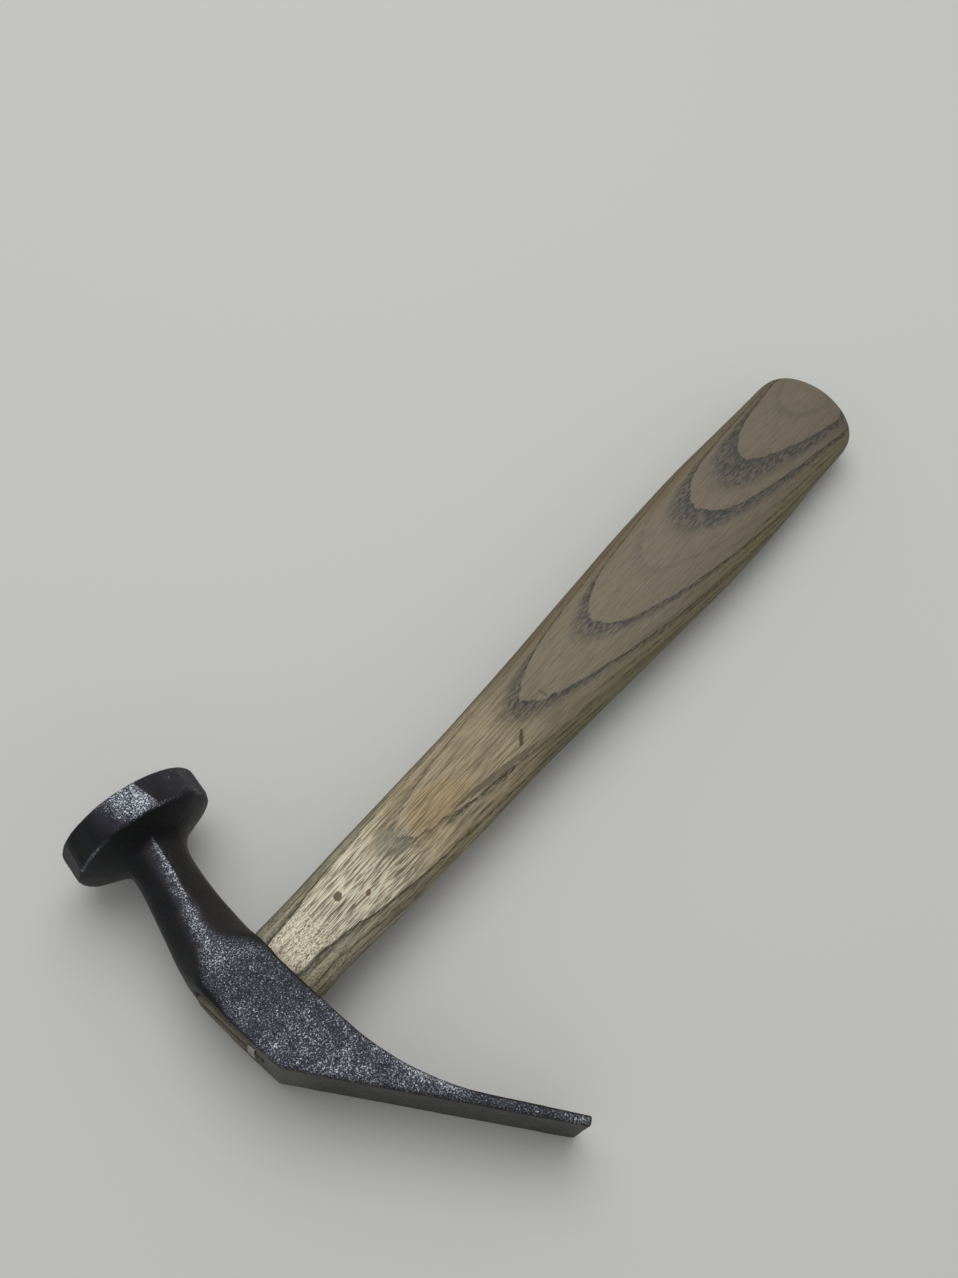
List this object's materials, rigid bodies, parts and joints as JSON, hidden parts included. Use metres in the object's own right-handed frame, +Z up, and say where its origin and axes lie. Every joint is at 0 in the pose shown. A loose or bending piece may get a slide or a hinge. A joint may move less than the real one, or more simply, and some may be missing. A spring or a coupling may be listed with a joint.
{
  "type": "shoemakers hammer",
  "caption": "Shoemaker's hammer with a wide round striking disc, a bent tapering peen and a swelling wooden handle wedged in the eye of its forged head.",
  "frame": {"origin": "middle of the footprint of the lying hammer, on the surface that it lies on", "axes": "+X along the handle from the head to the butt, +Y from the peen towards the striking disc, +Z up from the surface that the hammer lies on"},
  "size_m": [0.2472, 0.133, 0.0363],
  "materials": {
    "forged_steel": "dark blue-grey forged skin, worn bright on the arrises",
    "weathered_wood": "bare ring-porous wood, weathered grey-brown",
    "wedge_wood": "reddish hardwood end grain",
    "wedge_steel": "hammered bright end, dark in the gap"
  },
  "bodies": {
    "root": {"head": "forged_steel", "handle": "weathered_wood", "wooden_wedge": "wedge_wood", "steel_wedge": "wedge_steel"}
  },
  "joints": []
}
